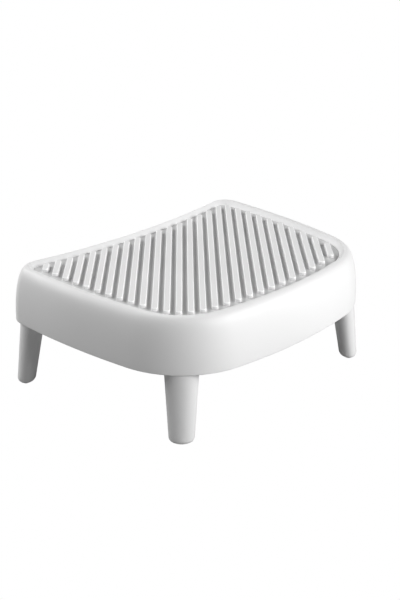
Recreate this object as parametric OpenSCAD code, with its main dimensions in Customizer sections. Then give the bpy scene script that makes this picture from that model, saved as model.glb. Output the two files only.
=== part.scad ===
// Step stool with a shallow, curved body, a lift-out ribbed tread and four splayed plug-in legs.
// X runs along the width, -Y is the bowed front, +Y the hollow back and +Z is up.
// The origin is on the floor, under the middle of the stool.

/* [Tread recess] */
// Straight distance between the recess's two back corners
recess_back_w = 382; // [350:1:440]
// Straight distance between the recess's two front corners
recess_front_w = 332; // [300:1:390]
// Depth of the recess from its front chord to its back chord
recess_depth = 268; // [235:1:320]
// How far the front edge bows outward from its chord
front_bow = 21.5; // [12:0.5:32]
// How far the back edge is hollowed inward from its chord
back_bow = 18.5; // [10:0.5:28]
// How far each end bows outward from its chord
side_bow = 9.5; // [5:0.5:18]
// Radius of the recess's front corners
recess_front_r = 74; // [50:1:90]
// Radius of the recess's back corners
recess_back_r = 13.5; // [8:0.5:24]

/* [Body shell] */
// Overall height, floor to rim crest
stool_h = 169; // [140:1:205]
// Height of the body, from the skirt's bottom edge to the rim crest
body_h = 73.5; // [61:0.5:90]
// Plan width of the slope inside the rim crest
slope_w = 6.5; // [4:0.5:9]
// Height of that slope
slope_h = 6.5; // [4:0.5:9]
// Spread of the skirt's bottom edge beyond the recess, front and ends
skirt_spread = 30.5; // [24:0.5:38]
// The same spread along the hollow back
back_spread = 8; // [7:0.5:16]
// Radius of the skirt's front corners
skirt_front_r = 119; // [100:1:128]
// Radius of the skirt's back corners
skirt_back_r = 24.5; // [20:0.5:34]
// Wall thickness of the skirt
skirt_wall = 3; // [2:0.5:5]
// Thickness of the deck under the tread
deck_t = 3; // [2:0.5:5]

/* [Inner frame] */
// Thickness of the frame's plate under the deck
frame_t = 2.5; // [2:0.5:4]
// Depth of the stiffening webs under that plate
web_h = 18; // [8:1:26]
// Thickness of the stiffening webs
web_t = 2; // [1.5:0.5:3]

/* [Tread tray] */
// Distance between neighbouring tread ribs
rib_pitch = 15; // [12:0.5:20]
// Width of a tread rib
rib_w = 8; // [5:0.5:10]
// Height of a tread rib above the tray floor
rib_h = 5; // [3:0.5:6]
// Rounding of a rib's ends in plan
rib_end_r = 3; // [1:0.5:3.5]
// Gap between a rib's end and the tray's edge
rib_end_gap = 4.5; // [2:0.5:9]
// Sideways shift of the whole set of ribs
rib_shift = -10.5; // [-12:0.5:12]
// Thickness of the tray floor
tray_t = 2.5; // [2:0.5:4]
// Overall height of the tray under its floor surface
tray_h = 9; // [8:0.5:14]
// Thickness of the tray's turned-down edge
tray_edge_t = 2.5; // [2:0.5:4]
// Gap between the tray and the recess wall
tray_gap = 0.5; // [0.3:0.1:1]
// Diameter of the tray's support posts
post_d = 14; // [12:1:18]
// Thickness of the soft pads that the tray rests on
tray_pad_t = 1; // [0.5:0.5:2]

/* [Legs] */
// Long width of a leg at the skirt, across its corner's diagonal
leg_top_long = 44.5; // [38:0.5:48]
// Short width of a leg at the skirt, along its corner's diagonal
leg_top_short = 33; // [30:0.5:35]
// Long width of a leg near the floor
leg_foot_long = 32.5; // [28:0.5:36]
// Short width of a leg near the floor
leg_foot_short = 25; // [23:0.5:28]
// How far a leg leans outward between the skirt and the floor
leg_splay = 14.5; // [4:0.5:20]
// Gap between a front leg's socket and the inside of the skirt
front_socket_gap = 0.35; // [0.3:0.05:6]
// Gap between a back leg's socket and the inside of the skirt
back_socket_gap = 4.85; // [2:0.05:10]
// Rounding of a leg's bottom edge
foot_r = 6; // [3:0.5:7]
// Diameter of the round tenon on top of a leg
tenon_d = 23; // [20:1:24]
// Length of the tenon
tenon_l = 24; // [18:1:32]
// Gap around the tenon in its socket
tenon_gap = 0.15; // [0.1:0.05:0.3]
// Wall thickness of a leg socket
socket_wall = 3; // [2.5:0.5:4]
// Width of the key that stops a leg turning
key_w = 4; // [3:0.5:5]
// How far the soft foot pad stands proud of the leg
pad_proud = 1.2; // [0.8:0.1:2]
// Depth of the foot pad's pocket in the leg
pad_pocket = 2; // [1.5:0.5:3]
// Border of leg left around the foot pad
pad_border = 6; // [5:0.5:7]

/* [Fasteners] */
// Diameter of a leg screw's shank
leg_screw_d = 6; // [5:1:6]
// Distance from the skirt down to a leg screw's seat
leg_screw_seat = 14; // [10:1:20]
// Length of a leg screw's thread in its insert
thread_l = 12; // [8:1:16]
// Outer diameter of a threaded insert
insert_d = 9; // [8:0.5:10]
// Diameter of a cover screw's shank
cover_screw_d = 4; // [3:0.5:4]
// Length of a cover screw
cover_screw_l = 16; // [12:1:22]
// Radial gap between a screw and what it threads into
thread_gap = 0.05; // [0.03:0.01:0.1]
// Clearance around a screw in a plain hole
screw_gap = 0.25; // [0.2:0.05:0.5]

/* [Bottom cover] */
// Thickness of the bottom cover
cover_t = 2.5; // [2:0.5:4]
// How far the cover sits up inside the skirt
cover_inset = 2; // [1:0.5:5]
// Gap around the cover
cover_gap = 0.5; // [0.3:0.1:1]

/* [Hidden] */

white = "#f2f2f0";
rib_white = "#ececea";
steel = "#b8bcc0";
brass = "#c9a24a";
rubber = "#9a9c9e";
frame_grey = "#d4d4d0";

// Numbers of sides of the bores, sockets and other round pieces
bore_sides = 48;
post_sides = 32;
hex_sides = 6;
// Numbers of straight steps that stand for the round stretches
front_steps = 8;
corner_steps = 6;
side_steps = 5;
back_steps = 7;
profile_steps = 8;
inner_steps = 6;
leg_sides = 36;
foot_steps = 4;
edge_steps = 2;

// Shape of the skirt's bulge: 2 is an ellipse, more is squarer
bulge_plan = 2.6;
bulge_rise = 1.9;
// Straight band along the skirt's bottom edge
skirt_band = 4.5;

// Angle of the bulge at which the hollow under the rim ends
rim_angle = 10;

// Stiffening webs of the inner frame: how many run each way, and how far in from the recess they end
webs_x = 5;
webs_y = 3;
web_edge = 4;
// Border between the frame's plate and the recess outline
frame_edge = 1;
// Walls that tie the leg sockets to the frame
gusset_h = 34;
gusset_l = 62;

// Bosses for the cover's screws: how many, how far in from the recess, and where round it they start
bosses_n = 8;
boss_inset = 14;
boss_start = 0.5;
boss_wall = 2.5;

// Posts under the tray: how many, how far in from the recess, and where round it they start
posts_n = 8;
post_inset = 24;
post_start = 0;
// Border between a tray pad and the edge of its post
tray_pad_edge = 1;

// Key on a leg's tenon: its height, and its share of the tenon's length
key_h = 2;
key_share = 0.8;
// Depth of the screw hole past the insert, and the gap left under the screw's tip
screw_tip = 2;
tip_gap = 1;
// Chamfer round a leg's top
leg_edge = 0.8;
// Gap between the washer and its bore, all round
washer_gap = 0.5;

washer_t = 1.2;
washer_d = 2 * leg_screw_d;
head_h = 4;
head_d = 1.75 * leg_screw_d;
hex_d = 0.6 * leg_screw_d;
hex_h = 2;
cover_head_d = 2 * cover_screw_d;
cover_head_h = cover_head_d / 4;
cover_slot_l = 4.5;
cover_slot_w = 1;
cover_slot_h = 1.2;
screw_bore_d = washer_d + 2 * washer_gap;
shank_bore_d = leg_screw_d + 2 * screw_gap;

// Stem that holds a foot pad in the leg's bore
stem_h = 7;
stem_gap = 0.1;

// How far a cut runs past the face that it opens
over = 1;

// Heights above the floor
skirt_z = stool_h - body_h;
floor_z = stool_h - slope_h;
deck_top_z = floor_z - tray_h - tray_pad_t;
deck_under_z = deck_top_z - deck_t;
cover_z = skirt_z + cover_inset;
boss_z = cover_z + cover_t;

// ---- Plan outline: two bowed ends, a bowed front, a hollow back and four round corners ----

// Radius of an arc of a given chord and bow
function arc_r(chord, bow) = (chord * chord / 4 + bow * bow) / (2 * bow);

// Point where two circles cross, on the left of the line from c1 to c2
function circles_cross(c1, r1, c2, r2) =
    let (
        v = c2 - c1,
        dist = norm(v),
        along = (r1 * r1 - r2 * r2 + dist * dist) / (2 * dist),
        up = sqrt(r1 * r1 - along * along),
        u = v / dist
    )
    c1 + along * u + up * [-u.y, u.x];

function polar(centre, r, a) = centre + r * [cos(a), sin(a)];
function angle_of(v) = atan2(v.y, v.x);
function arc_points(centre, r, a0, a1, steps) =
    [for (i = [0:steps - 1]) polar(centre, r, a0 + (a1 - a0) * i / steps)];

front_arc_r = arc_r(recess_front_w, front_bow);
back_arc_r = arc_r(recess_back_w, back_bow);
front_centre = [0, -recess_depth / 2 - front_bow + front_arc_r];
back_centre = [0, recess_depth / 2 - back_bow + back_arc_r];
end_from = [recess_front_w / 2, -recess_depth / 2];
end_to = [recess_back_w / 2, recess_depth / 2];
end_chord = norm(end_to - end_from);
end_arc_r = arc_r(end_chord, side_bow);
end_normal = [end_to.y - end_from.y, end_from.x - end_to.x] / end_chord;
end_centre = (end_from + end_to) / 2 - (end_arc_r - side_bow) * end_normal;

// A section is [front spread, end spread, back spread, front corner radius, back corner radius]
recess_section = [0, 0, 0, recess_front_r, recess_back_r];
crest_section = recess_section + slope_w * [1, 1, 1, 1, 1];
skirt_section = [skirt_spread, skirt_spread, back_spread, skirt_front_r, skirt_back_r];

// Shrinks a section evenly on every side
function inset(section, by) = section - by * [1, 1, 1, 1, 1];

function front_corner(s) =
    circles_cross(front_centre, front_arc_r + s[0] - s[3], end_centre, end_arc_r + s[1] - s[3]);
function back_corner(s) =
    circles_cross(back_centre, back_arc_r - s[2] + s[4], end_centre, end_arc_r + s[1] - s[4]);

// Right half of the outline, from the middle of the front to the middle of the back
function half_outline(s) =
    let (
        f = front_corner(s),
        b = back_corner(s),
        a1 = angle_of(f - front_centre),
        a2 = angle_of(f - end_centre),
        a3 = angle_of(b - end_centre),
        a4 = angle_of(back_centre - b)
    )
    concat(
        arc_points(front_centre, front_arc_r + s[0], -90, a1, front_steps),
        arc_points(f, s[3], a1, a2, corner_steps),
        arc_points(end_centre, end_arc_r + s[1], a2, a3, side_steps),
        arc_points(b, s[4], a3, a4, corner_steps),
        arc_points(back_centre, back_arc_r - s[2], a4 - 180, -90, back_steps),
        [polar(back_centre, back_arc_r - s[2], -90)]
    );

// Whole outline, anticlockwise from the middle of the front, shifted onto the origin
function outline(s) =
    let (half = half_outline(s), last = len(half) - 1)
    [for (p = concat(half, [for (i = [last - 1:-1:1]) [-half[i].x, half[i].y]])) p - [0, mid_y]];

// ---- Legs: a centre on each corner's diagonal, leaning outward ----

socket_d = tenon_d + 2 * (tenon_gap + socket_wall);
front_leg_inset = skirt_wall + front_socket_gap + socket_d / 2;
back_leg_inset = skirt_wall + back_socket_gap + socket_d / 2;
leg_lean = atan(leg_splay / skirt_z);
front_leg = front_corner(skirt_section) + (skirt_front_r - front_leg_inset) * [1, -1] / sqrt(2);
back_leg = back_corner(skirt_section) + (skirt_back_r - back_leg_inset) * [1, 1] / sqrt(2);

// Middle of the stool's plan between its foremost and rearmost points
foot_k = 1 - (pad_proud + foot_r) / skirt_z;
foot_reach = norm([
    leg_top_long + (leg_foot_long - leg_top_long) * foot_k,
    leg_top_short + (leg_foot_short - leg_top_short) * foot_k
]) / sqrt(8) + leg_splay * foot_k / sqrt(2);
front_y = -recess_depth / 2 - front_bow - skirt_spread;
back_y = max(back_corner(skirt_section).y + skirt_back_r, back_leg.y + foot_reach);
mid_y = (front_y + back_y) / 2;

// Corner signs, right being +X, and the matching leg centres
CORNERS = [[-1, -1], [1, -1], [-1, 1], [1, 1]];
function leg_centre(c) =
    let (p = c.y < 0 ? front_leg : back_leg) [c.x * p.x, p.y - mid_y, skirt_z];

// Moves its children to a leg: local X points outward along the diagonal, local Z up the leaning axis
module at_leg(c) {
    translate(leg_centre(c))
        rotate([0, 0, angle_of(c)])
            rotate([0, -leg_lean, 0])
                children();
}

// Moves its children to a leg's centre without the lean
module over_leg(c) {
    translate(leg_centre(c)) rotate([0, 0, angle_of(c)]) children();
}

// Closed skin through a list of rings, from its first ring to its last
module loft(rings) {
    n = len(rings[0]);
    m = len(rings);
    polyhedron(
        points = [for (ring = rings) each ring],
        faces = concat(
            [[for (i = [n - 1:-1:0]) i]],
            [for (j = [0:m - 2], i = [0:n - 1]) [j * n + i, j * n + (i + 1) % n, (j + 1) * n + (i + 1) % n]],
            [for (j = [0:m - 2], i = [0:n - 1]) [j * n + i, (j + 1) * n + (i + 1) % n, (j + 1) * n + i]],
            [[for (i = [0:n - 1]) (m - 1) * n + i]]
        )
    );
}

function at_z(points, z) = [for (p = points) [p.x, p.y, z]];

// ---- Body shell ----

// Section and height of the outer skin at an angle of its bulge: 0 is the crest, 90 the skirt
bulge_z = skirt_z + skirt_band;
function skin_section(a) =
    let (t = pow(sin(a), 2 / bulge_plan)) crest_section * (1 - t) + skirt_section * t;
function skin_z(a) = bulge_z + (stool_h - bulge_z) * pow(cos(a), 2 / bulge_rise);

// Rings from the deck's top, over the rim and down the skin, then up inside to the deck's underside
shell_rings = concat(
    [at_z(outline(recess_section), deck_top_z)],
    [at_z(outline(recess_section), floor_z)],
    [for (i = [0:profile_steps]) let (a = 90 * i / profile_steps) at_z(outline(skin_section(a)), skin_z(a))],
    [at_z(outline(skirt_section), skirt_z)],
    [at_z(outline(inset(skirt_section, skirt_wall)), skirt_z)],
    [for (i = [inner_steps:-1:0])
        let (a = rim_angle + (90 - rim_angle) * i / inner_steps)
        at_z(outline(inset(skin_section(a), skirt_wall)), skin_z(a) - skirt_wall * cos(a))],
    [at_z(outline(inset(recess_section, -skirt_wall)), floor_z - skirt_wall)],
    [at_z(outline(inset(recess_section, -skirt_wall)), deck_under_z)]
);

// Recess outline moved inward, with its tight back corners kept as they are
function inner_section(by) = [-by, -by, -by, recess_front_r - by, recess_back_r];

// Evenly spread places along the recess outline moved inward
function ring_places(by, count, start) =
    let (
        points = outline(inner_section(by)),
        n = len(points),
        run = [for (i = 0, s = 0; i <= n; s = s + norm(points[(i + 1) % n] - points[i % n]), i = i + 1) s],
        xs = [for (i = [0:n]) [run[i], points[i % n].x]],
        ys = [for (i = [0:n]) [run[i], points[i % n].y]]
    )
    [for (k = [0:count - 1]) let (s = run[n] * (k + start) / count) [lookup(s, xs), lookup(s, ys)]];

boss_places = ring_places(boss_inset, bosses_n, boss_start);
post_places = ring_places(post_inset, posts_n, post_start);
boss_d = cover_screw_d + 2 * (thread_gap + boss_wall);

insert_z = tenon_l + tenon_gap;
screw_end = insert_z + thread_l + screw_tip;
post_top = screw_end + socket_wall;
leg_screw_l = leg_screw_seat + washer_t + screw_end - tip_gap;
socket_hole_d = socket_d + 2 * cover_gap + 2 * (cover_inset + cover_t) * tan(leg_lean);

module body_shell() {
    color(white) loft(shell_rings);
}

// ---- Inner frame: a webbed plate under the deck that carries the leg sockets and the cover bosses ----

// Leaning socket that a leg plugs into, trimmed level with the skirt's edge
module leg_socket(c) {
    intersection() {
        at_leg(c) translate([0, 0, -socket_d])
            cylinder(d = socket_d, h = socket_d + post_top, $fn = bore_sides);
        over_leg(c) translate([-2 * socket_d, -socket_d, 0])
            cube([4 * socket_d, 2 * socket_d, 2 * socket_d]);
    }
}

// Wall that ties a socket to the frame
module leg_gusset(c) {
    over_leg(c)
        translate([-gusset_l, -web_t / 2, deck_under_z - gusset_h - skirt_z])
            cube([gusset_l - tenon_d / 2, web_t, gusset_h - frame_t / 2]);
}

module leg_socket_hollow(c) {
    at_leg(c) {
        translate([0, 0, -socket_d])
            cylinder(d = tenon_d + 2 * tenon_gap, h = socket_d + insert_z, $fn = bore_sides);
        translate([-tenon_d / 2 - key_h - tenon_gap, -key_w / 2 - tenon_gap, -socket_d])
            cube([tenon_d / 2, key_w + 2 * tenon_gap, socket_d + insert_z]);
        translate([0, 0, insert_z - over])
            cylinder(d = insert_d + 2 * thread_gap, h = thread_l + over, $fn = bore_sides);
        translate([0, 0, insert_z])
            cylinder(d = shank_bore_d, h = thread_l + screw_tip, $fn = bore_sides);
    }
}

module frame_webs() {
    z = deck_under_z - frame_t - web_h;
    intersection() {
        translate([0, 0, z - over])
            linear_extrude(web_h + frame_t) polygon(outline(inner_section(web_edge)));
        union() {
            for (i = [1:webs_x])
                translate([(i / (webs_x + 1) - 0.5) * recess_back_w - web_t / 2, -recess_depth, z])
                    cube([web_t, 2 * recess_depth, web_h + frame_t / 2]);
            for (i = [1:webs_y])
                translate([-recess_back_w, (i / (webs_y + 1) - 0.5) * recess_depth - mid_y - web_t / 2, z])
                    cube([2 * recess_back_w, web_t, web_h + frame_t / 2]);
        }
    }
}

module inner_frame() {
    color(frame_grey)
    difference() {
        union() {
            translate([0, 0, deck_under_z - frame_t])
                linear_extrude(frame_t) polygon(outline(inner_section(frame_edge)));
            frame_webs();
            for (c = CORNERS) {
                leg_socket(c);
                leg_gusset(c);
            }
            for (p = boss_places)
                translate([p.x, p.y, boss_z])
                    cylinder(d = boss_d, h = deck_under_z - frame_t / 2 - boss_z, $fn = post_sides);
        }
        for (c = CORNERS) leg_socket_hollow(c);
        for (p = boss_places)
            translate([p.x, p.y, boss_z - over])
                cylinder(
                    d = cover_screw_d + 2 * thread_gap,
                    h = cover_screw_l - cover_t + over,
                    $fn = post_sides
                );
    }
}

// ---- Tread tray ----

rib_dir = [1, 1] / sqrt(2);
rib_side = [1, -1] / sqrt(2);

// Where a straight line at a given sideways distance enters and leaves the ribs' outline
rib_bounds = [for (p = outline(inner_section(tray_gap + rib_end_gap))) p + [0, mid_y]];
function line_span(q) =
    let (
        n = len(rib_bounds),
        hits = [for (i = [0:n - 1])
            let (
                a = rib_bounds[i],
                b = rib_bounds[(i + 1) % n],
                qa = a * rib_side - q,
                qb = b * rib_side - q
            )
            if (qa * qb < 0) (a + (b - a) * qa / (qa - qb)) * rib_dir]
    )
    len(hits) < 2 ? [0, 0] : [min(hits), max(hits)];

// Both of a rib's edges stay inside the outline
function rib_span(q) =
    let (a = line_span(q - rib_w / 2), b = line_span(q + rib_w / 2)) [max(a[0], b[0]), min(a[1], b[1])];

rib_reach = ceil(recess_back_w / rib_pitch);
RIBS = [for (k = [-rib_reach:rib_reach])
    let (q = rib_shift + k * rib_pitch, span = rib_span(q))
    if (span[1] - span[0] > rib_w) [q, span[0], span[1]]];

// Plan of a rib: a bar with rounded corners
function rib_plan(from, to) =
    let (x = rib_w / 2 - rib_end_r, a = from + rib_end_r, b = to - rib_end_r)
    concat(
        arc_points([b, x], rib_end_r, 0, 90, edge_steps), [[b, x + rib_end_r]],
        arc_points([a, x], rib_end_r, 90, 180, edge_steps), [[a - rib_end_r, x]],
        arc_points([a, -x], rib_end_r, 180, 270, edge_steps), [[a, -x - rib_end_r]],
        arc_points([b, -x], rib_end_r, 270, 360, edge_steps), [[b + rib_end_r, -x]]
    );

// One rib; its local X axis runs along it
module tread_rib(rib) {
    translate([0, -mid_y, floor_z - tray_t / 2]) rotate([0, 0, 45]) translate([0, -rib[0], 0])
        linear_extrude(rib_h + tray_t / 2) polygon(rib_plan(rib[1], rib[2]));
}

module tread_tray() {
    color(rib_white) {
        difference() {
            translate([0, 0, floor_z - tray_h])
                linear_extrude(tray_h) polygon(outline(inset(recess_section, tray_gap)));
            translate([0, 0, floor_z - tray_h - over])
                linear_extrude(tray_h - tray_t + over)
                    polygon(outline(inset(recess_section, tray_gap + tray_edge_t)));
        }
        for (p = post_places)
            translate([p.x, p.y, floor_z - tray_h])
                cylinder(d = post_d, h = tray_h - tray_t / 2, $fn = post_sides);
        for (rib = RIBS) tread_rib(rib);
    }
}

module tray_pads() {
    color(rubber)
    for (p = post_places)
        translate([p.x, p.y, deck_top_z])
            cylinder(d = post_d - 2 * tray_pad_edge, h = tray_pad_t, $fn = post_sides);
}

// ---- Bottom cover and its screws ----

module bottom_cover() {
    color(white)
    difference() {
        translate([0, 0, cover_z])
            linear_extrude(cover_t) polygon(outline(inset(skirt_section, skirt_wall + cover_gap)));
        for (c = CORNERS)
            over_leg(c) {
                translate([0, 0, -socket_d])
                    cylinder(d = socket_hole_d, h = 2 * socket_d, $fn = bore_sides);
                translate([0, -socket_hole_d / 2, -socket_d])
                    cube([2 * socket_d, socket_hole_d, 2 * socket_d]);
            }
        for (p = boss_places) {
            translate([p.x, p.y, cover_z - over])
                cylinder(d = cover_screw_d + 2 * screw_gap, h = cover_t + 2 * over, $fn = post_sides);
            translate([p.x, p.y, cover_z])
                cylinder(d1 = cover_head_d, d2 = cover_screw_d, h = cover_head_h, $fn = post_sides);
        }
    }
}

module cover_screws() {
    color(steel)
    for (p = boss_places)
        translate([p.x, p.y, cover_z])
            difference() {
                union() {
                    cylinder(d = cover_screw_d, h = cover_screw_l, $fn = post_sides);
                    cylinder(d1 = cover_head_d, d2 = cover_screw_d, h = cover_head_h, $fn = post_sides);
                }
                for (a = [0, 90])
                    rotate([0, 0, a])
                        translate([-cover_slot_l / 2, -cover_slot_w / 2, -over])
                            cube([cover_slot_l, cover_slot_w, cover_slot_h + over]);
            }
}

// ---- Legs and feet ----

// Oval section of a leg at a height above the floor, shrunk by a border
function leg_oval(z, border) =
    let (
        k = 1 - z / skirt_z,
        a = (leg_top_short + (leg_foot_short - leg_top_short) * k) / 2 - border,
        b = (leg_top_long + (leg_foot_long - leg_top_long) * k) / 2 - border
    )
    [for (i = [0:leg_sides - 1])
        let (t = 360 * i / leg_sides)
        [leg_splay * k + a * cos(t), b * sin(t), z - skirt_z]];

leg_rings = concat(
    [leg_oval(skirt_z, leg_edge)],
    [leg_oval(skirt_z - leg_edge, 0)],
    [for (i = [0:foot_steps])
        let (t = 90 * i / foot_steps)
        leg_oval(pad_proud + foot_r * (1 - sin(t)), foot_r * (1 - cos(t)))]
);

function flat(points) = [for (p = points) [p.x, p.y]];

module leg(c) {
    color(white)
    difference() {
        union() {
            over_leg(c) loft(leg_rings);
            at_leg(c) {
                translate([0, 0, -key_h]) cylinder(d = tenon_d, h = tenon_l + key_h, $fn = bore_sides);
                translate([-tenon_d / 2 - key_h, -key_w / 2, -key_h])
                    cube([tenon_d / 2, key_w, tenon_l * key_share + key_h]);
            }
        }
        at_leg(c) {
            translate([0, 0, -2 * skirt_z])
                cylinder(d = screw_bore_d, h = 2 * skirt_z - leg_screw_seat, $fn = bore_sides);
            translate([0, 0, -skirt_z / 2])
                cylinder(d = shank_bore_d, h = skirt_z / 2 + tenon_l + over, $fn = bore_sides);
        }
        over_leg(c) translate([0, 0, -skirt_z])
            linear_extrude(pad_proud + pad_pocket) polygon(flat(leg_oval(pad_proud, pad_border)));
    }
}

module foot_pad(c) {
    color(rubber)
    union() {
        over_leg(c) translate([0, 0, -skirt_z])
            linear_extrude(pad_proud + pad_pocket)
                polygon(flat(leg_oval(pad_proud, pad_border + stem_gap)));
        intersection() {
            at_leg(c) translate([0, 0, -2 * skirt_z])
                cylinder(d = screw_bore_d - 2 * stem_gap, h = 2 * skirt_z, $fn = bore_sides);
            over_leg(c) translate([-skirt_z, -skirt_z, pad_proud - skirt_z])
                cube([2 * skirt_z, 2 * skirt_z, pad_pocket + stem_h]);
        }
    }
}

module leg_front_left() { leg(CORNERS[0]); }
module leg_front_right() { leg(CORNERS[1]); }
module leg_back_left() { leg(CORNERS[2]); }
module leg_back_right() { leg(CORNERS[3]); }
module foot_pad_front_left() { foot_pad(CORNERS[0]); }
module foot_pad_front_right() { foot_pad(CORNERS[1]); }
module foot_pad_back_left() { foot_pad(CORNERS[2]); }
module foot_pad_back_right() { foot_pad(CORNERS[3]); }

// ---- Leg hardware, all along each leg's leaning axis ----

module leg_screws() {
    color(steel)
    for (c = CORNERS)
        at_leg(c) translate([0, 0, -leg_screw_seat - washer_t])
            difference() {
                union() {
                    cylinder(d = leg_screw_d, h = leg_screw_l, $fn = bore_sides);
                    translate([0, 0, -head_h]) cylinder(d = head_d, h = head_h, $fn = bore_sides);
                }
                translate([0, 0, -head_h - over]) cylinder(d = hex_d, h = hex_h + over, $fn = hex_sides);
            }
}

module leg_washers() {
    color(steel)
    for (c = CORNERS)
        at_leg(c) translate([0, 0, -leg_screw_seat - washer_t])
            difference() {
                cylinder(d = washer_d, h = washer_t, $fn = bore_sides);
                translate([0, 0, -over])
                    cylinder(d = shank_bore_d, h = washer_t + 2 * over, $fn = bore_sides);
            }
}

module leg_inserts() {
    color(brass)
    for (c = CORNERS)
        at_leg(c) translate([0, 0, insert_z])
            difference() {
                cylinder(d = insert_d, h = thread_l, $fn = bore_sides);
                translate([0, 0, -over])
                    cylinder(d = leg_screw_d + 2 * thread_gap, h = thread_l + 2 * over, $fn = bore_sides);
            }
}

body_shell();
inner_frame();
tread_tray();
tray_pads();
bottom_cover();
cover_screws();
leg_front_left();
leg_front_right();
leg_back_left();
leg_back_right();
foot_pad_front_left();
foot_pad_front_right();
foot_pad_back_left();
foot_pad_back_right();
leg_screws();
leg_washers();
leg_inserts();
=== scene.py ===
"""Looks of the step stool: smooth shell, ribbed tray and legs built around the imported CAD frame.

Everything is in metres in the CAD's own frame: +X along the width, -Y the bowed front, +Z up.
"""

import math

import bmesh
import bpy
import numpy as np
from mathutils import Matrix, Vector


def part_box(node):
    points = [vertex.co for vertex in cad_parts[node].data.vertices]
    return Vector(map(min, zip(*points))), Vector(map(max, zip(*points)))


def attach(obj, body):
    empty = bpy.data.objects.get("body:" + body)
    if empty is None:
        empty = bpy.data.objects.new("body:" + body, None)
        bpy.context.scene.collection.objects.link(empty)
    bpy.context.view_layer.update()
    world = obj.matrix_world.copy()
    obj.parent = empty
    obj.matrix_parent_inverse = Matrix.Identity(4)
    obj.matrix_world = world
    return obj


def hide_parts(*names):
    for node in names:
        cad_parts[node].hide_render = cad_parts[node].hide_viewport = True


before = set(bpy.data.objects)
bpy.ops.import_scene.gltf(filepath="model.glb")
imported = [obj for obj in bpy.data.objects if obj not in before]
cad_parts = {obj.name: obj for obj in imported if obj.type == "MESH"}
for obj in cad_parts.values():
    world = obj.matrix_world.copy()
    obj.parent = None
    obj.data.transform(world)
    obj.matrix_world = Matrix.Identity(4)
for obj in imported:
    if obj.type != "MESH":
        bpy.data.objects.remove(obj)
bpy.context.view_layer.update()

MM = 0.001
RIGHT = math.pi / 2

# ---- Driving sizes that the node boxes don't give ----
RECESS_BACK_W = 382 * MM
RECESS_FRONT_W = 332 * MM
RECESS_DEPTH = 268 * MM
FRONT_BOW = 21.5 * MM
BACK_BOW = 18.5 * MM
SIDE_BOW = 9.5 * MM
RECESS_RADII = (74 * MM, 13.5 * MM)
SLOPE = 6.5 * MM
SKIRT_SPREAD = 30.5 * MM
BACK_SPREAD = 8 * MM
SKIRT_RADII = (119 * MM, 24.5 * MM)
SKIRT_WALL = 3 * MM
SKIRT_BAND = 4.5 * MM
DECK_T = 3 * MM
# Exponents of the superellipse that the skirt's bulge follows, outward and upward
BULGE_PLAN = 2.6
BULGE_RISE = 1.9

RIB_PITCH = 15 * MM
RIB_W = 8 * MM
RIB_H = 5 * MM
RIB_SHIFT = -10.5 * MM
RIB_END_GAP = 4.5 * MM
RIB_TOP_R = 1.5 * MM
RIB_PLAN_R = 3 * MM
TRAY_GAP = 0.5 * MM
TRAY_T = 2.5 * MM
TRAY_EDGE_T = 2.5 * MM
TRAY_PAD_T = 1 * MM
POST_D = 14 * MM
POST_INSET = 24 * MM
POSTS_N = 8

LEG_TOP = (33 * MM, 44.5 * MM)
LEG_FOOT = (25 * MM, 32.5 * MM)
LEG_SPLAY = 14.5 * MM
LEG_INSET = (18 * MM, 22.5 * MM)
FOOT_R = 6 * MM
PAD_PROUD = 1.2 * MM
PAD_POCKET = 2 * MM
PAD_BORDER = 6 * MM

# ---- Heights and places read from the frame ----
SHELL_LOW, SHELL_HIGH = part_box("body_shell")
TRAY_LOW, TRAY_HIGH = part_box("tread_tray")
STOOL_H = SHELL_HIGH.z
SKIRT_Z = SHELL_LOW.z
FLOOR_Z = TRAY_HIGH.z - RIB_H
TRAY_UNDER_Z = TRAY_LOW.z
DECK_TOP_Z = TRAY_UNDER_Z - TRAY_PAD_T
DECK_UNDER_Z = DECK_TOP_Z - DECK_T
MID_Y = -(SHELL_LOW.y + RECESS_DEPTH / 2 + FRONT_BOW + SKIRT_SPREAD)


# ---- Plan outline: a bowed front, two bowed ends, a hollow back and four round corners ----

def arc_radius(chord, bow):
    return (chord * chord / 4 + bow * bow) / (2 * bow)


def circles_cross(c1, r1, c2, r2):
    """Where two circles cross, on the left of the line from c1 to c2."""
    v = c2 - c1
    dist = np.hypot(*v)
    along = (r1 * r1 - r2 * r2 + dist * dist) / (2 * dist)
    up = math.sqrt(r1 * r1 - along * along)
    u = v / dist
    return c1 + along * u + up * np.array([-u[1], u[0]])


def arc(centre, r, a0, a1, steps):
    """Points along an arc from a0 up to, but without, a1."""
    a = np.linspace(a0, a1, steps, endpoint=False)
    return centre + r * np.column_stack([np.cos(a), np.sin(a)])


def angle(v):
    return math.atan2(v[1], v[0])


FRONT_R = arc_radius(RECESS_FRONT_W, FRONT_BOW)
BACK_R = arc_radius(RECESS_BACK_W, BACK_BOW)
FRONT_C = np.array([0, -RECESS_DEPTH / 2 - FRONT_BOW + FRONT_R])
BACK_C = np.array([0, RECESS_DEPTH / 2 - BACK_BOW + BACK_R])
END_FROM = np.array([RECESS_FRONT_W, -RECESS_DEPTH]) / 2
END_TO = np.array([RECESS_BACK_W, RECESS_DEPTH]) / 2
END_CHORD = np.hypot(*(END_TO - END_FROM))
END_R = arc_radius(END_CHORD, SIDE_BOW)
END_NORMAL = np.array([END_TO[1] - END_FROM[1], END_FROM[0] - END_TO[0]]) / END_CHORD
END_C = (END_FROM + END_TO) / 2 - (END_R - SIDE_BOW) * END_NORMAL

# A section is (front spread, end spread, back spread, front corner radius, back corner radius)
RECESS = np.array([0, 0, 0, *RECESS_RADII])
CREST = RECESS + SLOPE
SKIRT = np.array([SKIRT_SPREAD, SKIRT_SPREAD, BACK_SPREAD, *SKIRT_RADII])


def front_corner(s):
    return circles_cross(FRONT_C, FRONT_R + s[0] - s[3], END_C, END_R + s[1] - s[3])


def back_corner(s):
    return circles_cross(BACK_C, BACK_R - s[2] + s[4], END_C, END_R + s[1] - s[4])


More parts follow.
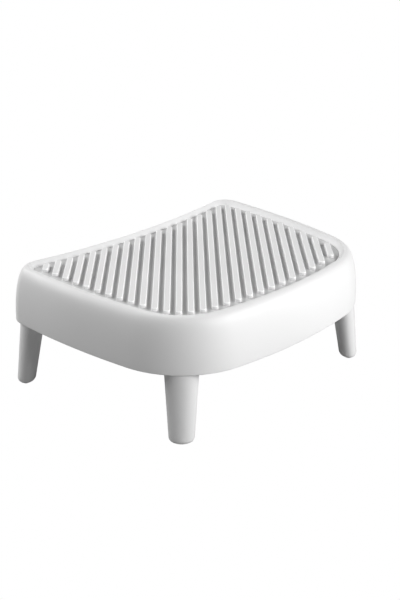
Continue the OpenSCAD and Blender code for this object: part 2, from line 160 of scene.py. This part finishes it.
# Segments of half an outline: the front, the front corner, the end, the back corner and the back
ARC_STEPS = (24, 28, 20, 22, 26)


def outline(s):
    """Closed plan outline of a section, anticlockwise from the middle of the front, in the CAD's frame."""
    f, b = front_corner(s), back_corner(s)
    a1, a2 = angle(f - FRONT_C), angle(f - END_C)
    a3, a4 = angle(b - END_C), angle(BACK_C - b)
    half = np.vstack([
        arc(FRONT_C, FRONT_R + s[0], -RIGHT, a1, ARC_STEPS[0]),
        arc(f, s[3], a1, a2, ARC_STEPS[1]),
        arc(END_C, END_R + s[1], a2, a3, ARC_STEPS[2]),
        arc(b, s[4], a3, a4, ARC_STEPS[3]),
        arc(BACK_C, BACK_R - s[2], a4 - math.pi, -RIGHT, ARC_STEPS[4]),
        [BACK_C - [0, BACK_R - s[2]]],
    ])
    mirrored = half[-2:0:-1] * [-1, 1]
    return np.vstack([half, mirrored]) - [0, MID_Y]


def inner_section(by):
    """The recess section moved inward, with its tight back corners kept as they are."""
    return np.array([-by, -by, -by, RECESS_RADII[0] - by, RECESS_RADII[1]])


# ---- Mesh helpers ----

SHARP_ANGLE = math.radians(35)
FLAT_WEIGHT = 100


def shade_smooth(mesh):
    """Smooth shading, except across edges sharper than the sharp angle."""
    mesh.polygons.foreach_set("use_smooth", [True] * len(mesh.polygons))
    mesh.set_sharp_from_angle(angle=SHARP_ANGLE)


def mesh_object(name, bm):
    mesh = bpy.data.meshes.new(name)
    bmesh.ops.recalc_face_normals(bm, faces=bm.faces)
    bm.to_mesh(mesh)
    bm.free()
    shade_smooth(mesh)
    obj = bpy.data.objects.new(name, mesh)
    bpy.context.scene.collection.objects.link(obj)
    return obj


def loft(bm, rings):
    """Adds a closed skin through rings of equal length, capped at its first and last ring."""
    loops = [[bm.verts.new(p) for p in ring] for ring in rings]
    n = len(loops[0])
    for low, high in zip(loops, loops[1:]):
        for i in range(n):
            bm.faces.new([low[i], low[(i + 1) % n], high[(i + 1) % n], high[i]])
    bm.faces.new(list(reversed(loops[0])))
    bm.faces.new(loops[-1])


def at_z(points, z):
    return np.column_stack([points, np.full(len(points), z)])


def rounded(a, b, c, steps):
    """Quadratic curve from a to c pulled towards b; a, b and c are (section, height) pairs."""
    curve = []
    for t in np.linspace(0, 1, steps):
        pull = ((1 - t) ** 2, 2 * t * (1 - t), t * t)
        curve.append(tuple(sum(w * p[i] for w, p in zip(pull, (a, b, c))) for i in (0, 1)))
    return curve


def applied(obj):
    """Replaces an object's mesh by what its modifiers make of it."""
    deps = bpy.context.evaluated_depsgraph_get()
    mesh = bpy.data.meshes.new_from_object(obj.evaluated_get(deps))
    obj.modifiers.clear()
    obj.data = mesh
    return obj


def flat_faces_true(obj):
    """Smooth shading in which the rounded edges don't tilt the flat faces beside them."""
    shade_smooth(obj.data)
    mod = obj.modifiers.new("normals", "WEIGHTED_NORMAL")
    mod.keep_sharp = True
    mod.weight = FLAT_WEIGHT
    return applied(obj)


def union(obj, other):
    """Fuses other into obj."""
    mod = obj.modifiers.new("union", "BOOLEAN")
    mod.operation = "UNION"
    mod.solver = "EXACT"
    mod.object = other
    applied(obj)
    bpy.data.objects.remove(other)
    return obj


# ---- Body shell ----

CREST_ROUND = 1.0 * MM
CREST_ANGLE = 0.16       # where on the bulge the crest's rounding ends
EDGE_ROUND = 1.2 * MM
SEAM_ROUND = 0.5 * MM
RIM_ANGLE = math.radians(10)    # where on the bulge the inner wall turns in towards the recess
SEAM_STEPS = 4
CREST_STEPS = 9
EDGE_STEPS = 5
SKIN_STEPS = 40
INSIDE_STEPS = 14
BULGE_Z = SKIRT_Z + SKIRT_BAND


def skin(a):
    """Section and height of the outer skin at an angle of its bulge.

    The crest is at 0 and the skirt at a right angle.
    """
    t = math.sin(a) ** (2 / BULGE_PLAN)
    rise = max(math.cos(a), 0) ** (2 / BULGE_RISE)
    return CREST * (1 - t) + SKIRT * t, BULGE_Z + (STOOL_H - BULGE_Z) * rise


def shell_profile():
    """(section, height) pairs from the deck's top over the rim, down the skin and up inside."""
    crest = (CREST, STOOL_H)
    before = (CREST - CREST_ROUND, STOOL_H - CREST_ROUND)
    after = skin(CREST_ANGLE)
    seam = (RECESS, FLOOR_Z)
    above_seam = (RECESS + SEAM_ROUND, FLOOR_Z + SEAM_ROUND)
    edge = (SKIRT, SKIRT_Z)
    under_edge = (SKIRT - EDGE_ROUND, SKIRT_Z)
    profile = [(RECESS, DECK_TOP_Z)]
    profile += rounded((RECESS, FLOOR_Z - SEAM_ROUND), seam, above_seam, SEAM_STEPS)
    profile += rounded(before, crest, after, CREST_STEPS)
    profile += [skin(a) for a in np.linspace(CREST_ANGLE, RIGHT, SKIN_STEPS)[1:]]
    profile += rounded((SKIRT, SKIRT_Z + EDGE_ROUND), edge, under_edge, EDGE_STEPS)
    profile += [(SKIRT - SKIRT_WALL, SKIRT_Z)]
    for a in np.linspace(RIGHT, RIM_ANGLE, INSIDE_STEPS):
        section, z = skin(a)
        profile.append((section - SKIRT_WALL, z - SKIRT_WALL * math.cos(a)))
    profile += [(RECESS + SKIRT_WALL, FLOOR_Z - SKIRT_WALL), (RECESS + SKIRT_WALL, DECK_UNDER_Z)]
    return profile


def make_shell():
    bm = bmesh.new()
    loft(bm, [at_z(outline(s), z) for s, z in shell_profile()])
    return mesh_object("shell_skin", bm)


# ---- Tread tray ----

RIB_DIR = np.array([1, 1]) / math.sqrt(2)
RIB_SIDE = np.array([1, -1]) / math.sqrt(2)
RIB_FOOT_R = 0.3 * MM
RIB_SINK = 1 * MM        # how far a rib reaches into the tray's floor before the two are fused
RIB_FOOT_STEPS = 4
RIB_TOP_STEPS = 8
RIB_PLAN_STEPS = 7
TRAY_EDGE_R = 0.4 * MM
POST_SIDES = 48


def line_span(bounds, q):
    """Where the straight line at sideways distance q enters and leaves a closed outline."""
    side = bounds @ RIB_SIDE - q
    nxt = np.roll(side, -1)
    cross = side * nxt < 0
    if not cross.any():
        return 0, 0
    a, b = bounds[cross], np.roll(bounds, -1, axis=0)[cross]
    hits = (a + (b - a) * (side / (side - nxt))[cross][:, None]) @ RIB_DIR
    return hits.min(), hits.max()


def rib_places():
    """(sideways distance, start, end) of every rib, from the middle of the recess."""
    bounds = outline(inner_section(TRAY_GAP + RIB_END_GAP)) + [0, MID_Y]
    reach = math.ceil(RECESS_BACK_W / RIB_PITCH)
    places = []
    for k in range(-reach, reach + 1):
        q = RIB_SHIFT + k * RIB_PITCH
        spans = [line_span(bounds, q - RIB_W / 2), line_span(bounds, q + RIB_W / 2)]
        start, end = max(s[0] for s in spans), min(s[1] for s in spans)
        if end - start > RIB_W:
            places.append((q, start, end))
    return places


def bar_plan(length, width, r):
    """Plan of a bar along X with rounded corners, anticlockwise."""
    x, y = length / 2 - r, width / 2 - r
    points = []
    for k, corner in enumerate([(x, y), (-x, y), (-x, -y), (x, -y)]):
        for i in range(RIB_PLAN_STEPS):
            a = RIGHT * (k + i / (RIB_PLAN_STEPS - 1))
            points.append([corner[0] + r * math.cos(a), corner[1] + r * math.sin(a)])
    return np.array(points)


def add_rib(bm, q, start, end):
    """One rib with rounded top edges and ends, and a small fillet where it meets the tray floor."""
    length = end - start
    contour = [(RIB_FOOT_R, -RIB_SINK)]
    for a in np.linspace(0, RIGHT, RIB_FOOT_STEPS):
        contour.append((RIB_FOOT_R * (1 - math.sin(a)), RIB_FOOT_R * (1 - math.cos(a))))
    for a in np.linspace(0, RIGHT, RIB_TOP_STEPS):
        contour.append((-RIB_TOP_R * (1 - math.cos(a)), RIB_H - RIB_TOP_R * (1 - math.sin(a))))
    centre = RIB_SIDE * q + RIB_DIR * (start + end) / 2 - [0, MID_Y]
    rings = []
    for out, z in contour:
        plan = bar_plan(length + 2 * out, RIB_W + 2 * out, RIB_PLAN_R + out)
        world = plan[:, :1] * RIB_DIR - plan[:, 1:] * RIB_SIDE + centre
        rings.append(at_z(world, FLOOR_Z + z))
    loft(bm, rings)


def post_places():
    """Middles of the support posts, evenly spread along the recess outline moved inward."""
    points = outline(inner_section(POST_INSET))
    points = np.vstack([points, points[:1]])
    run = np.insert(np.cumsum(np.hypot(*np.diff(points, axis=0).T)), 0, 0)
    along = run[-1] * np.arange(POSTS_N) / POSTS_N
    return np.column_stack([np.interp(along, run, points[:, 0]), np.interp(along, run, points[:, 1])])


def make_tray():
    outer, inner = RECESS - TRAY_GAP, RECESS - TRAY_GAP - TRAY_EDGE_T
    under = FLOOR_Z - TRAY_T
    profile = [(inner, under), (inner, TRAY_UNDER_Z), (outer, TRAY_UNDER_Z)]
    side, top = (outer, FLOOR_Z - TRAY_EDGE_R), (outer - TRAY_EDGE_R, FLOOR_Z)
    profile += rounded(side, (outer, FLOOR_Z), top, EDGE_STEPS)
    bm = bmesh.new()
    loft(bm, [at_z(outline(s), z) for s, z in profile])
    tray = mesh_object("tread_panel", bm)
    bm = bmesh.new()
    for place in rib_places():
        add_rib(bm, *place)
    for place in post_places():
        plan = arc(place, POST_D / 2, 0, 2 * math.pi, POST_SIDES)
        loft(bm, [at_z(plan, TRAY_UNDER_Z), at_z(plan, under + TRAY_T / 2)])
    union(tray, mesh_object("ribs", bm))
    return flat_faces_true(tray)


# ---- Legs ----

CORNERS = {"front_left": (-1, -1), "front_right": (1, -1), "back_left": (-1, 1), "back_right": (1, 1)}
LEG_TOP_R = 0.8 * MM
LEG_SIDES = 96
LEG_STEPS = 12
LEG_TOP_STEPS = 5


def leg_centre(corner):
    """Middle of a leg's top, inset along its corner's diagonal from the skirt's edge."""
    if corner[1] < 0:
        p = front_corner(SKIRT) + (SKIRT[3] - LEG_INSET[0]) * RIB_SIDE
    else:
        p = back_corner(SKIRT) + (SKIRT[4] - LEG_INSET[1]) * RIB_DIR
    return np.array([corner[0] * p[0], p[1] - MID_Y])


def leg_oval(corner, z, shrink):
    """Oval section of a leg at a height, shrunk all round."""
    k = 1 - z / SKIRT_Z
    a = (LEG_TOP[0] + (LEG_FOOT[0] - LEG_TOP[0]) * k) / 2 - shrink
    b = (LEG_TOP[1] + (LEG_FOOT[1] - LEG_TOP[1]) * k) / 2 - shrink
    out = np.array(corner) / math.sqrt(2)
    along = np.array([-out[1], out[0]])
    t = np.linspace(0, 2 * math.pi, LEG_SIDES, endpoint=False)[:, None]
    centre = leg_centre(corner) + out * LEG_SPLAY * k
    return at_z(centre + out * a * np.cos(t) + along * b * np.sin(t), z)


def make_leg(name, corner):
    """One leg from the pocket of its foot pad, round the foot and up to the skirt."""
    rings = [leg_oval(corner, PAD_PROUD + PAD_POCKET, PAD_BORDER), leg_oval(corner, PAD_PROUD, PAD_BORDER)]
    for t in np.linspace(0, RIGHT, LEG_STEPS):
        rings.append(leg_oval(corner, PAD_PROUD + FOOT_R * (1 - math.cos(t)), FOOT_R * (1 - math.sin(t))))
    for z in np.linspace(PAD_PROUD + FOOT_R, SKIRT_Z - LEG_TOP_R, LEG_STEPS)[1:]:
        rings.append(leg_oval(corner, z, 0))
    for t in np.linspace(0, RIGHT, LEG_TOP_STEPS)[1:]:
        rings.append(leg_oval(corner, SKIRT_Z - LEG_TOP_R * (1 - math.sin(t)), LEG_TOP_R * (1 - math.cos(t))))
    bm = bmesh.new()
    loft(bm, rings)
    return mesh_object("leg_skin_" + name, bm)


# ---- Materials ----

RAMP_FROM, RAMP_TO = 0.35, 0.65      # where a noise starts and stops changing a colour
RELIEF_DEPTH = 0.1 * MM
MOTTLE_SCALE = 9.0
MOTTLE = 0.012
GLOSS_SCALE = 30.0
GLOSS_SPREAD = 0.03
GRAIN_SCALE = 900.0
GRAIN_STRENGTH = 0.04
PLASTIC_IOR = 1.49
PLASTIC_SPECULAR = 0.4
TOOL_MARKS_SCALE = 1500.0
MARKS_DARK = 0.85
MARKS_GLOSS_SPREAD = 0.06
BLOOM_SCALE = 220.0
BLOOM = 0.1
RUBBER_GRAIN_SCALE = 2500.0
RUBBER_GRAIN_STRENGTH = 0.2
RUBBER_ROUGHNESS = 0.8
# How far a normal points up, from a wall over the rounded edge to a flat top, and the edge's share of the
# painted highlight there
EDGE_HIGHLIGHT_SHARES = ((0.1, 0), (0.35, 1), (0.93, 1), (0.985, 0))
# Places of the Mix node's colour sockets
MIX_FIRST, MIX_SECOND, MIX_RESULT = 6, 7, 2


def new_material(name):
    mat = bpy.data.materials.new(name)
    mat.use_nodes = True
    nodes = mat.node_tree.nodes
    return mat, nodes, mat.node_tree.links, nodes["Principled BSDF"]


def noise(nodes, links, coords, scale, detail=2.0):
    tex = nodes.new("ShaderNodeTexNoise")
    tex.inputs["Scale"].default_value = scale
    tex.inputs["Detail"].default_value = detail
    links.new(coords, tex.inputs["Vector"])
    return tex.outputs["Fac"]


def ramp(nodes, links, fac, low, high):
    """Maps a noise onto a colour between low and high."""
    node = nodes.new("ShaderNodeValToRGB")
    first, last = node.color_ramp.elements
    first.position, first.color = RAMP_FROM, low
    last.position, last.color = RAMP_TO, high
    links.new(fac, node.inputs["Fac"])
    return node.outputs["Color"]


def grey(value):
    return (value, value, value, 1)


def relief(nodes, links, bsdf, height, strength):
    """Fine bumps from a noise."""
    bump = nodes.new("ShaderNodeBump")
    bump.inputs["Strength"].default_value = strength
    bump.inputs["Distance"].default_value = RELIEF_DEPTH
    links.new(height, bump.inputs["Height"])
    links.new(bump.outputs["Normal"], bsdf.inputs["Normal"])


def height_share(nodes, links, coords, low, high):
    """0 up to one height, 1 from another, smooth in between."""
    split = nodes.new("ShaderNodeSeparateXYZ")
    links.new(coords, split.inputs["Vector"])
    share = nodes.new("ShaderNodeMapRange")
    share.interpolation_type = "SMOOTHSTEP"
    share.inputs["From Min"].default_value = low
    share.inputs["From Max"].default_value = high
    links.new(split.outputs["Z"], share.inputs["Value"])
    return share.outputs["Result"]


def blend(nodes, links, share, first, second):
    """The first colour where the share is 0, the second where it is 1."""
    mix = nodes.new("ShaderNodeMix")
    mix.data_type = "RGBA"
    links.new(share, mix.inputs["Factor"])
    links.new(first, mix.inputs[MIX_FIRST])
    links.new(second, mix.inputs[MIX_SECOND])
    return mix.outputs[MIX_RESULT]


def edge_highlight_share(nodes, links, normal):
    """Share of the painted highlight: 1 where a rounded edge turns from a wall into a flat top, 0 on the wall
    and on the top.
    """
    split = nodes.new("ShaderNodeSeparateXYZ")
    links.new(normal, split.inputs["Vector"])
    share = nodes.new("ShaderNodeValToRGB")
    stops = share.color_ramp.elements
    for stop, (up, value) in zip((stops[0], stops[1]), (EDGE_HIGHLIGHT_SHARES[0], EDGE_HIGHLIGHT_SHARES[-1])):
        stop.position, stop.color = up, grey(value)
    for up, value in EDGE_HIGHLIGHT_SHARES[1:-1]:
        stops.new(up).color = grey(value)
    links.new(split.outputs["Z"], share.inputs["Fac"])
    return share.outputs["Color"]


def plastic(name, tone, rough, grain=GRAIN_SCALE, strength=GRAIN_STRENGTH, ribs=None):
    """Moulded plastic: slight mottling, uneven satin gloss and a fine spark-eroded grain.

    With ribs, a (floor tone, edge tone, two heights) tuple, it has the floor tone, a painted shade for the
    grooves between the ribs, up to the first height.
    From the second height it has its own tone, and the edge tone, a painted highlight, on rounded edges.
    """
    mat, nodes, links, bsdf = new_material(name)
    places = nodes.new("ShaderNodeTexCoord")
    coords = places.outputs["Object"]
    mottle = noise(nodes, links, coords, MOTTLE_SCALE, 0.0)

    def shade(value):
        return ramp(nodes, links, mottle, grey(value - MOTTLE), grey(value + MOTTLE))

    colour = shade(tone)
    if ribs:
        floor_painted_shade, edge_painted_highlight, heights = ribs
        # Painted highlight: the rounded rib edges get a lighter tone, standing in for the light they catch
        edges = edge_highlight_share(nodes, links, places.outputs["Normal"])
        colour = blend(nodes, links, edges, colour, shade(edge_painted_highlight))
        # Painted shade: the tray floor between the ribs gets the darker floor tone, standing in for the shade
        # in the grooves
        up = height_share(nodes, links, coords, *heights)
        colour = blend(nodes, links, up, shade(floor_painted_shade), colour)
    links.new(colour, bsdf.inputs["Base Color"])
    gloss = noise(nodes, links, coords, GLOSS_SCALE, 0.0)
    low, high = grey(rough - GLOSS_SPREAD), grey(rough + GLOSS_SPREAD)
    links.new(ramp(nodes, links, gloss, low, high), bsdf.inputs["Roughness"])
    relief(nodes, links, bsdf, noise(nodes, links, coords, grain), strength)
    bsdf.inputs["IOR"].default_value = PLASTIC_IOR
    bsdf.inputs["Specular IOR Level"].default_value = PLASTIC_SPECULAR
    return mat


def metal(name, colour, rough):
    """Turned or plated metal with fine tool marks."""
    mat, nodes, links, bsdf = new_material(name)
    coords = nodes.new("ShaderNodeTexCoord").outputs["Object"]
    marks = noise(nodes, links, coords, TOOL_MARKS_SCALE, 4.0)
    dark = tuple(c * MARKS_DARK for c in colour) + (1,)
    links.new(ramp(nodes, links, marks, dark, colour + (1,)), bsdf.inputs["Base Color"])
    low, high = grey(rough - MARKS_GLOSS_SPREAD), grey(rough + MARKS_GLOSS_SPREAD)
    links.new(ramp(nodes, links, marks, low, high), bsdf.inputs["Roughness"])
    bsdf.inputs["Metallic"].default_value = 1.0
    return mat


def rubber(name, tone):
    """Soft matt rubber with a faint bloom."""
    mat, nodes, links, bsdf = new_material(name)
    coords = nodes.new("ShaderNodeTexCoord").outputs["Object"]
    bloom = noise(nodes, links, coords, BLOOM_SCALE, 4.0)
    low, high = grey(tone * (1 - BLOOM)), grey(tone * (1 + BLOOM))
    links.new(ramp(nodes, links, bloom, low, high), bsdf.inputs["Base Color"])
    relief(nodes, links, bsdf, noise(nodes, links, coords, RUBBER_GRAIN_SCALE), RUBBER_GRAIN_STRENGTH)
    bsdf.inputs["Roughness"].default_value = RUBBER_ROUGHNESS
    return mat


# Painted shade: the tray floor between the ribs is darker, standing in for the shade that falls in the
# grooves
TRAY_FLOOR_PAINTED_SHADE = 0.66
# Painted highlight: the rounded rib edges are lighter, standing in for the light they catch
RIB_EDGE_PAINTED_HIGHLIGHT = 0.96
RIB_SHADE_FROM = FLOOR_Z + RIB_FOOT_R
RIB_SHADE_TO = RIB_SHADE_FROM + 1 * MM
RIB_PAINTED_SHADE_AND_HIGHLIGHT = (TRAY_FLOOR_PAINTED_SHADE, RIB_EDGE_PAINTED_HIGHLIGHT, (RIB_SHADE_FROM, RIB_SHADE_TO))
BODY_WHITE = plastic("body_white", 0.80, 0.46)
TRAY_WHITE = plastic("tray_white", 0.80, 0.45, ribs=RIB_PAINTED_SHADE_AND_HIGHLIGHT)
LEG_WHITE = plastic("leg_white", 0.74, 0.46)
COVER_WHITE = plastic("cover_white", 0.74, 0.55, grain=600.0, strength=0.12)
FRAME_GREY = plastic("frame_grey", 0.55, 0.5)
SOFT_GREY = rubber("soft_grey", 0.30)
STEEL = metal("steel", (0.62, 0.63, 0.65), 0.32)
BRASS = metal("brass", (0.76, 0.58, 0.26), 0.3)


def dress(obj, material):
    obj.data.materials.clear()
    obj.data.materials.append(material)
    return obj


def add_piece(obj, material, slot, body, *nodes):
    """Gives a visual piece its finish and its body, and hides the CAD nodes it stands for."""
    dress(obj, material)
    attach(obj, body)
    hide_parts(*nodes)


def carried_over():
    """CAD nodes that stay as they are and only get a finish."""
    finishes = {
        "inner_frame": FRAME_GREY, "bottom_cover": COVER_WHITE, "tray_pads": SOFT_GREY,
        "cover_screws": STEEL, "leg_screws": STEEL, "leg_washers": STEEL, "leg_inserts": BRASS,
    }
    for name in CORNERS:
        finishes["foot_pad_" + name] = SOFT_GREY
    for node, material in finishes.items():
        dress(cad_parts[node], material)


# ---- Stage: floor, light and camera ----

CAMERA_AT = (-1.0054, -0.9549, 0.7179)
CAMERA_PITCH = math.radians(24.95)
CAMERA_LENS = 65.05
CAMERA_SENSOR = 36
CAMERA_SHIFT = (0.029, 0.034)
LIGHT_REACH = 2.4
# Azimuth and elevation in degrees, 0 being +X, then the size in metres and the power in watts
SOFTBOXES = {"key": (289, 30, (2.2, 1.2), 66), "back_fill": (112, 36, (2.7, 1.1), 56)}
FLOOR_REACH = 12
FLOOR_TONE = 0.35
FLOOR_ROUGHNESS = 0.9
AMBIENT = 0.07


def make_camera():
    data = bpy.data.cameras.new("camera")
    data.lens = CAMERA_LENS
    data.sensor_width = CAMERA_SENSOR
    data.shift_x, data.shift_y = CAMERA_SHIFT
    cam = bpy.data.objects.new("camera", data)
    cam.location = CAMERA_AT
    cam.rotation_euler = (math.pi / 2 - CAMERA_PITCH, 0, -math.pi / 4)
    bpy.context.scene.collection.objects.link(cam)
    bpy.context.scene.camera = cam


def softbox(name, azimuth, elevation, size, power):
    """A rectangular light that faces the stool."""
    data = bpy.data.lights.new(name, "AREA")
    data.shape = "RECTANGLE"
    data.size, data.size_y = size
    data.energy = power
    a, e = math.radians(azimuth), math.radians(elevation)
    at = LIGHT_REACH * Vector((math.cos(a) * math.cos(e), math.sin(a) * math.cos(e), math.sin(e)))
    obj = bpy.data.objects.new(name, data)
    obj.location = at
    obj.rotation_euler = (-at).to_track_quat("-Z", "Y").to_euler()
    bpy.context.scene.collection.objects.link(obj)


def seen_as(nodes, links, lit, shown, output):
    """The studio shows one shader to the camera and lights the stool with another."""
    path = nodes.new("ShaderNodeLightPath")
    mix = nodes.new("ShaderNodeMixShader")
    links.new(path.outputs["Is Camera Ray"], mix.inputs["Fac"])
    links.new(lit, mix.inputs[1])
    links.new(shown, mix.inputs[2])
    links.new(mix.outputs["Shader"], output.inputs["Surface"])


def make_floor():
    bm = bmesh.new()
    bmesh.ops.create_grid(bm, x_segments=1, y_segments=1, size=FLOOR_REACH)
    floor = mesh_object("floor", bm)
    mat, nodes, links, bsdf = new_material("floor")
    bsdf.inputs["Base Color"].default_value = grey(FLOOR_TONE)
    bsdf.inputs["Roughness"].default_value = FLOOR_ROUGHNESS
    glow = nodes.new("ShaderNodeEmission")
    glow.inputs["Strength"].default_value = 1.0
    seen_as(nodes, links, bsdf.outputs["BSDF"], glow.outputs["Emission"], nodes["Material Output"])
    dress(floor, mat)


def make_world():
    world = bpy.data.worlds.new("studio")
    bpy.context.scene.world = world
    world.use_nodes = True
    nodes, links = world.node_tree.nodes, world.node_tree.links
    ambient = nodes["Background"]
    ambient.inputs["Color"].default_value = grey(1)
    ambient.inputs["Strength"].default_value = AMBIENT
    white = nodes.new("ShaderNodeBackground")
    white.inputs["Color"].default_value = grey(1)
    seen_as(nodes, links, ambient.outputs["Background"], white.outputs["Background"], nodes["World Output"])


make_camera()
make_world()
for light_name, light in SOFTBOXES.items():
    softbox(light_name, *light)
make_floor()
add_piece(make_shell(), BODY_WHITE, "body_white", "stool", "body_shell")
add_piece(make_tray(), TRAY_WHITE, "tray_white", "tray", "tread_tray")
for leg_name, leg_corner in CORNERS.items():
    add_piece(make_leg(leg_name, leg_corner), LEG_WHITE, "leg_white", "stool", "leg_" + leg_name)
carried_over()
bpy.context.scene.view_settings.view_transform = "Standard"
